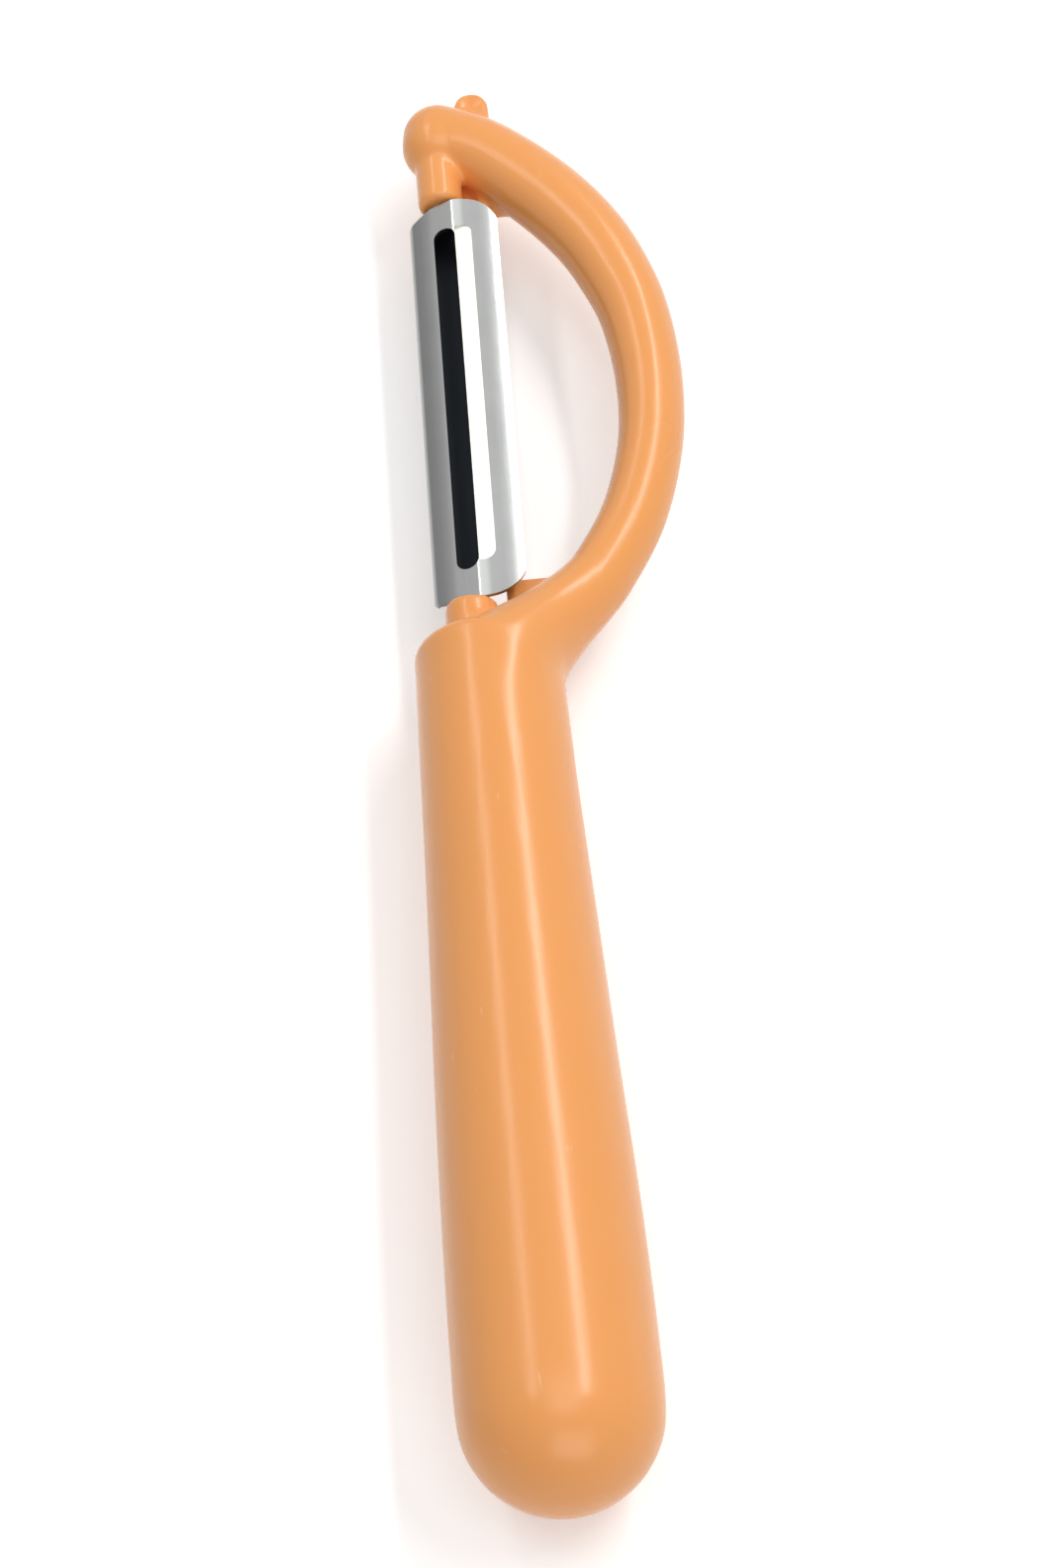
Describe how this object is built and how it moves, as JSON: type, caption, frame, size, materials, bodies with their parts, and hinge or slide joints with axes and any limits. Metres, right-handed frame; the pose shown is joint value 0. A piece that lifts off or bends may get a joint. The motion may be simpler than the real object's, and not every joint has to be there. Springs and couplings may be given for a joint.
{
  "type": "vegetable peeler",
  "caption": "Hand peeler with a rounded plastic handle, a bow arm at its side, an eye-digging tongue and a slotted steel blade that swivels on pins.",
  "frame": {"origin": "centre of the whole peeler's box, on the mould's parting plane", "axes": "+X towards the bow arm's side, +Y from the butt to the head, +Z out of the blade's front, through the slot"},
  "size_m": [0.04, 0.2, 0.0234],
  "materials": {
    "handle_plastic": "satin",
    "blade_steel": "polished strip with a ground bevel",
    "pin_steel": "plain"
  },
  "bodies": {
    "handle": {"handle_and_bow": "handle_plastic", "handle_pivot_pin": "pin_steel", "head_pivot_pin": "pin_steel"},
    "blade": {"swivel_blade": "blade_steel"}
  },
  "joints": [
    {"name": "blade_swivel", "type": "hinge", "parent": "handle", "child": "blade", "pos_m": [-0.0096, 0.0489, 0], "axis": [0, 1, 0], "range_deg": [-16, 14.5]}
  ]
}
